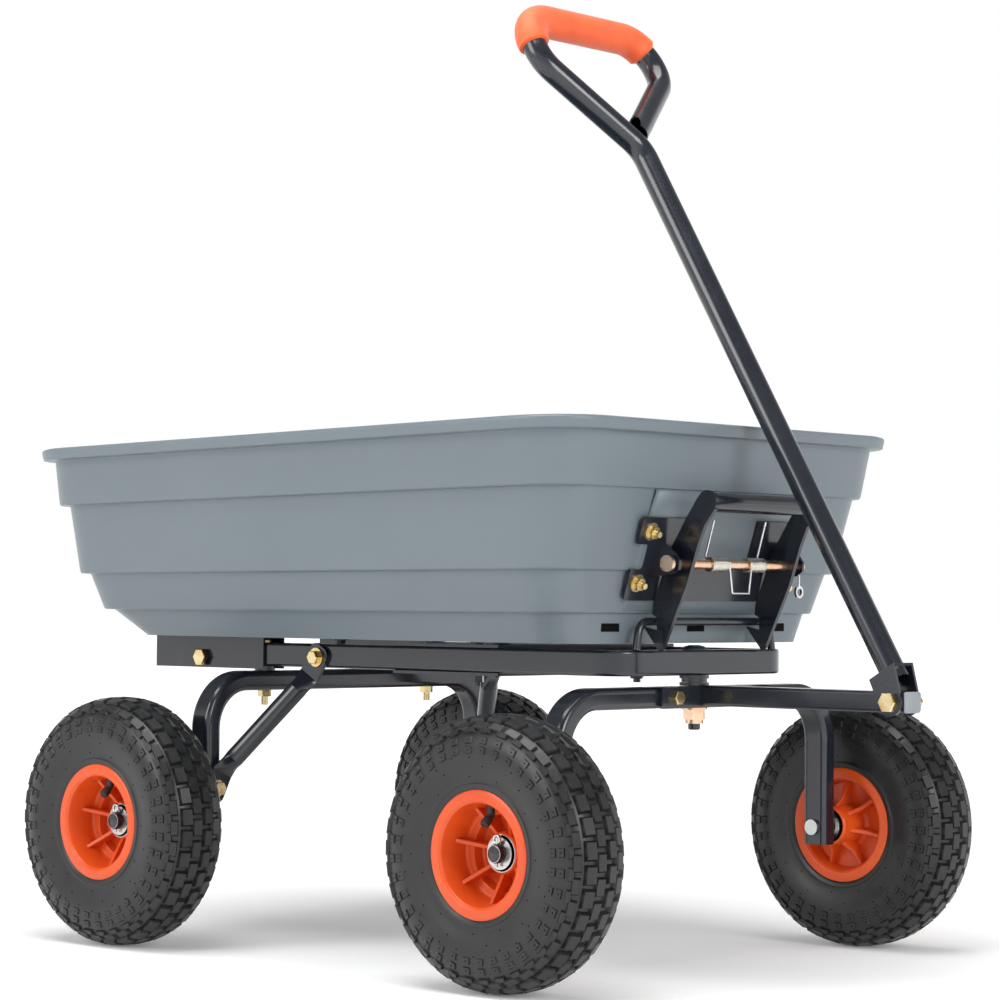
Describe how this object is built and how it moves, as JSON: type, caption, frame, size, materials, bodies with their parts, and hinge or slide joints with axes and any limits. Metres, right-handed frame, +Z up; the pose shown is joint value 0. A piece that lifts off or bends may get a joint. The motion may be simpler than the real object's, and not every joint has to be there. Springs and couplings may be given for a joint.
{
  "type": "garden cart",
  "caption": "Four-wheeled garden dump cart: stepped poly tub that tips on a tubular frame, steered front axle, swinging pull handle with looped grip, and a spring latch at the front.",
  "frame": {"origin": "on the ground, at the centre of the cart's bounding box seen from above", "axes": "+X forwards towards the pull handle, +Y to the cart's left, +Z up"},
  "size_m": [0.9939, 0.638, 0.969],
  "materials": {
    "tyre_rubber": "knobbly moulded rubber, satin",
    "rim_orange": "moulded orange polypropylene, satin",
    "bearing_steel": "bright zinc",
    "black_rubber": "matt black rubber",
    "tub_poly": "slate grey moulded polyethylene, fine grain",
    "powder_coat": "gloss near-black powder coat",
    "yellow_zinc": "yellow passivated zinc",
    "copper_zinc": "reddish yellow passivated zinc",
    "grey_plastic": "grey moulded plug",
    "grip_orange": "orange foam rubber",
    "bright_wire": "bright spring wire"
  },
  "bodies": {
    "frame": {"frame_tube": "powder_coat", "cross_plate": "powder_coat", "cross_plate_bolts": "powder_coat", "latch_bar": "powder_coat", "rear_arch": "powder_coat", "rear_axle_plates": "powder_coat", "rear_axle_stubs": "bearing_steel", "rear_axle_washers": "bearing_steel", "rear_cotter_pins": "bearing_steel", "arch_bolts": "yellow_zinc", "arch_spacers": "powder_coat", "braces": "powder_coat", "brace_bolts": "yellow_zinc", "kingpin": "powder_coat", "dump_pivot_bolts": "yellow_zinc", "thrust_washers": "powder_coat", "kingpin_nut": "copper_zinc"},
    "front_axle": {"front_arch": "powder_coat", "front_axle_stubs": "bearing_steel", "front_axle_washers": "bearing_steel", "front_cotter_pins": "bearing_steel", "tongue": "powder_coat", "saddle_bolts": "yellow_zinc", "tongue_plug": "grey_plastic", "handle_pivot_bolt": "yellow_zinc"},
    "handle": {"clevis": "powder_coat", "handle_tube": "powder_coat", "handle_grip": "grip_orange"},
    "tub": {"tub": "tub_poly", "hinge_channels": "powder_coat", "tub_buffers": "black_rubber", "latch_bracket": "powder_coat", "bracket_bolts": "yellow_zinc", "latch_rod": "copper_zinc", "hairpin": "bright_wire", "torsion_spring": "bright_wire"},
    "release": {"release_handle": "powder_coat"},
    "wheel_front_right": {"tyre_front_right": "tyre_rubber", "rim_front_right": "rim_orange", "bearings_front_right": "bearing_steel", "valve_stem_front_right": "black_rubber"},
    "wheel_front_left": {"tyre_front_left": "tyre_rubber", "rim_front_left": "rim_orange", "bearings_front_left": "bearing_steel", "valve_stem_front_left": "black_rubber"},
    "wheel_rear_right": {"tyre_rear_right": "tyre_rubber", "rim_rear_right": "rim_orange", "bearings_rear_right": "bearing_steel", "valve_stem_rear_right": "black_rubber"},
    "wheel_rear_left": {"tyre_rear_left": "tyre_rubber", "rim_rear_left": "rim_orange", "bearings_rear_left": "bearing_steel", "valve_stem_rear_left": "black_rubber"}
  },
  "joints": [
    {"name": "steering", "type": "hinge", "parent": "frame", "child": "front_axle", "pos_m": [0.233, 0, 0.2685], "axis": [0, 0, 1], "range_deg": [-30, 30]},
    {"name": "pull_handle", "type": "hinge", "parent": "front_axle", "child": "handle", "pos_m": [0.48, 0, 0.27], "axis": [0, 1, 0], "range_deg": [0, 135]},
    {"name": "tub_dump", "type": "hinge", "parent": "frame", "child": "tub", "pos_m": [-0.34, 0, 0.298], "axis": [0, -1, 0], "range_deg": [0, 80]},
    {"name": "latch_release", "type": "hinge", "parent": "tub", "child": "release", "pos_m": [0.284, 0, 0.399], "axis": [0, -1, 0], "range_deg": [0, 14], "stiffness_Nm_per_rad": 1.5, "springref_deg": -11.46},
    {"name": "spin_front_right", "type": "hinge", "parent": "front_axle", "child": "wheel_front_right", "pos_m": [0.233, -0.28, 0.129], "axis": [0, 1, 0], "continuous": true},
    {"name": "spin_front_left", "type": "hinge", "parent": "front_axle", "child": "wheel_front_left", "pos_m": [0.233, 0.28, 0.129], "axis": [0, 1, 0], "continuous": true},
    {"name": "spin_rear_right", "type": "hinge", "parent": "frame", "child": "wheel_rear_right", "pos_m": [-0.308, -0.28, 0.129], "axis": [0, 1, 0], "continuous": true},
    {"name": "spin_rear_left", "type": "hinge", "parent": "frame", "child": "wheel_rear_left", "pos_m": [-0.308, 0.28, 0.129], "axis": [0, 1, 0], "continuous": true}
  ]
}
